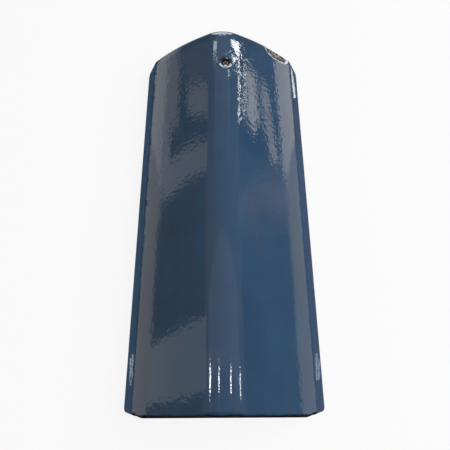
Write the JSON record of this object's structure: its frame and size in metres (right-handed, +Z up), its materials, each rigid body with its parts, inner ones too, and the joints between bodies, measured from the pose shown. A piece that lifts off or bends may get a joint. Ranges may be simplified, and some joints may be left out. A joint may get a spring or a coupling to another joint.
{
  "type": "verge tile",
  "caption": "Tapered house-shaped verge tile in blue glazed clay, with a crowned crest, splayed skirts and a nail hole near the narrow end.",
  "frame": {"origin": "on the floor under the middle of the tile, halfway along its length", "axes": "+Y along the tile from the wide end to the narrow end, +Z up from the feet to the crest, +X to the right when looking from the wide end to the narrow end"},
  "size_m": [0.208, 0.4, 0.1118],
  "materials": {
    "glazed_clay": "glossy blue glaze"
  },
  "bodies": {
    "root": {"verge_tile": "glazed_clay"}
  },
  "joints": []
}
